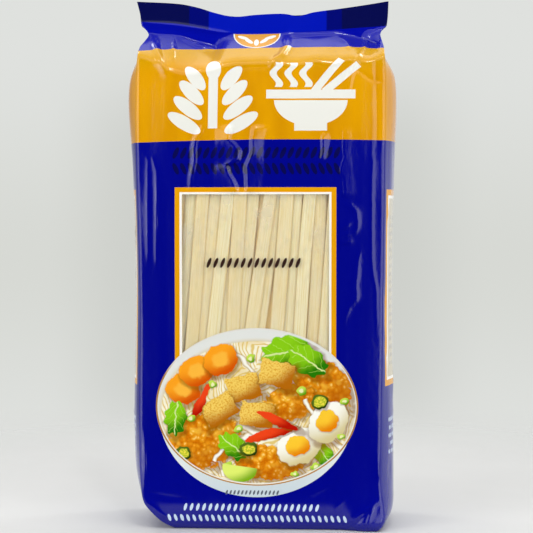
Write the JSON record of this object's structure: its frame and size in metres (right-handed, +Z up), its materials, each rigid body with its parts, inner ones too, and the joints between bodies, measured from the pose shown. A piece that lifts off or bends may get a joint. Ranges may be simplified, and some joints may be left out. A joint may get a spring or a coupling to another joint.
{
  "type": "sealed film pack of dried flat rice noodles",
  "caption": "Upright gusseted film pack with a folded bottom, a flat end seal on top and a clear front window that shows the bundle of dried flat rice noodles inside.",
  "frame": {"origin": "centre of the pack's footprint, on the surface it stands on", "axes": "+Z up to the end seal, -Y out of the front with the window, +X to the viewer's right"},
  "size_m": [0.112, 0.0526, 0.2172],
  "materials": {
    "printed_film": "glossy printed film, royal blue with an orange band across the top",
    "clear_film": "clear glossy film",
    "rice_noodle": "dry, slightly translucent cream noodle with a faint satin sheen"
  },
  "bodies": {
    "root": {"film_bag": "printed_film", "top_seal": "printed_film", "noodle_bundle": "rice_noodle"}
  },
  "joints": []
}
